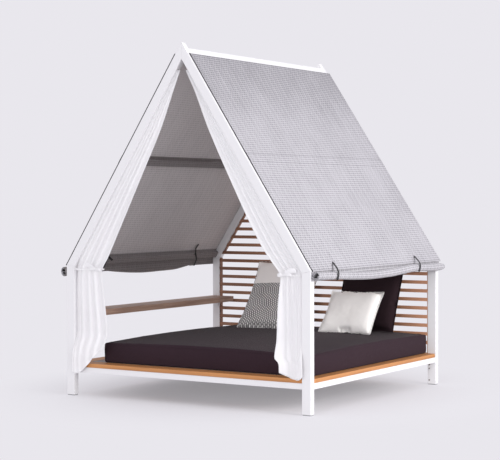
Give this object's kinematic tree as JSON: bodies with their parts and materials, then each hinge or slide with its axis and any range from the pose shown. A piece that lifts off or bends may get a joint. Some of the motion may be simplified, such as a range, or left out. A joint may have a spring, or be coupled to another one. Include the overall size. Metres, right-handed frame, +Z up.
{
  "type": "outdoor daybed with canopy",
  "caption": "Gable-framed outdoor daybed: slatted deck, mattress and cushions under a pitched cloth canopy, with tied curtains, rolled side blinds and a side shelf.",
  "frame": {"origin": "on the floor, at the middle of the whole daybed's plan", "axes": "+Z up; -Y out of the entrance gable with the curtains; +X to the right as seen from the entrance; the ridge runs along Y"},
  "size_m": [2.134, 1.984, 2.4488],
  "materials": {
    "frame_white": "satin white powder coat",
    "deck_teak": "oiled teak, warm orange-brown",
    "screen_teak": "oiled teak slats, seen in the shade",
    "shelf_teak": "teak weathered to a greyer brown",
    "canopy_fabric": "light grey outdoor cloth with a fine woven check",
    "curtain_voile": "thin white voile",
    "mattress_fabric": "dark aubergine-charcoal outdoor cloth",
    "cushion_ivory": "ivory cloth",
    "cushion_pattern": "ivory cloth above, small dark check below",
    "cushion_dark": "near-black brown cloth",
    "strap_black": "black webbing",
    "screw_metal": "dark screw heads",
    "foot_grey": "grey plastic glide"
  },
  "bodies": {
    "daybed": {"apron_front": "frame_white", "apron_left": "frame_white", "apron_rear": "frame_white", "apron_right": "frame_white", "bearer_left": "frame_white", "bearer_middle": "frame_white", "bearer_right": "frame_white", "blind_flap_left": "canopy_fabric", "blind_flap_right": "canopy_fabric", "canopy_left": "canopy_fabric", "canopy_right": "canopy_fabric", "curtain_left": "curtain_voile", "curtain_right": "curtain_voile", "curtain_tie_left": "curtain_voile", "curtain_tie_right": "curtain_voile", "deck_panel_1": "deck_teak", "deck_panel_2": "deck_teak", "deck_panel_3": "deck_teak", "deck_rim_front": "deck_teak", "deck_rim_left": "deck_teak", "deck_rim_rear": "deck_teak", "deck_rim_right": "deck_teak", "eave_rail_left": "frame_white", "eave_rail_right": "frame_white", "foot_front_left": "foot_grey", "foot_front_right": "foot_grey", "foot_rear_left": "foot_grey", "foot_rear_right": "foot_grey", "post_front_left": "frame_white", "post_front_right": "frame_white", "post_rear_left": "frame_white", "post_rear_right": "frame_white", "post_screw_left_lower": "screw_metal", "post_screw_left_middle": "screw_metal", "post_screw_left_upper": "screw_metal", "post_screw_right_lower": "screw_metal", "post_screw_right_middle": "screw_metal", "post_screw_right_upper": "screw_metal", "purlin_left": "frame_white", "purlin_right": "frame_white", "rafter_front_left": "frame_white", "rafter_front_right": "frame_white", "rafter_rear_left": "frame_white", "rafter_rear_right": "frame_white", "rear_screen_gable": "screen_teak", "rear_screen_lower": "screen_teak", "ridge_beam": "frame_white", "roll_strap_left_front": "strap_black", "roll_strap_left_rear": "strap_black", "roll_strap_right_front": "strap_black", "roll_strap_right_rear": "strap_black", "shelf": "shelf_teak", "shelf_bracket_front": "frame_white", "shelf_bracket_rear": "frame_white"},
    "roll_left": {"blind_roll_left": "canopy_fabric"},
    "roll_right": {"blind_roll_right": "canopy_fabric"},
    "mattress": {"mattress": "mattress_fabric"},
    "cushion_two_tone": {"cushion_two_tone": "cushion_pattern"},
    "cushion_dark": {"cushion_dark": "cushion_dark"},
    "cushion_ivory": {"cushion_ivory": "cushion_ivory"}
  },
  "joints": [
    {"name": "roll_left_lower", "type": "slide", "parent": "daybed", "child": "roll_left", "axis": [0, 0, -1], "range_m": [0, 0.6], "deforming": ["blind_flap_left", "roll_strap_left_front", "roll_strap_left_rear"]},
    {"name": "roll_right_lower", "type": "slide", "parent": "daybed", "child": "roll_right", "axis": [0, 0, -1], "range_m": [0, 0.6], "deforming": ["blind_flap_right", "roll_strap_right_front", "roll_strap_right_rear"]},
    {"name": "mattress_lift", "type": "slide", "parent": "daybed", "child": "mattress", "axis": [0, 0, 1], "range_m": [0, 0.15]},
    {"name": "cushion_two_tone_lift", "type": "slide", "parent": "mattress", "child": "cushion_two_tone", "axis": [0, 0, 1], "range_m": [0, 0.2]},
    {"name": "cushion_dark_lift", "type": "slide", "parent": "mattress", "child": "cushion_dark", "axis": [0, 0, 1], "range_m": [0, 0.2]},
    {"name": "cushion_ivory_lift", "type": "slide", "parent": "cushion_dark", "child": "cushion_ivory", "axis": [0, 0, 1], "range_m": [0, 0.2]}
  ]
}
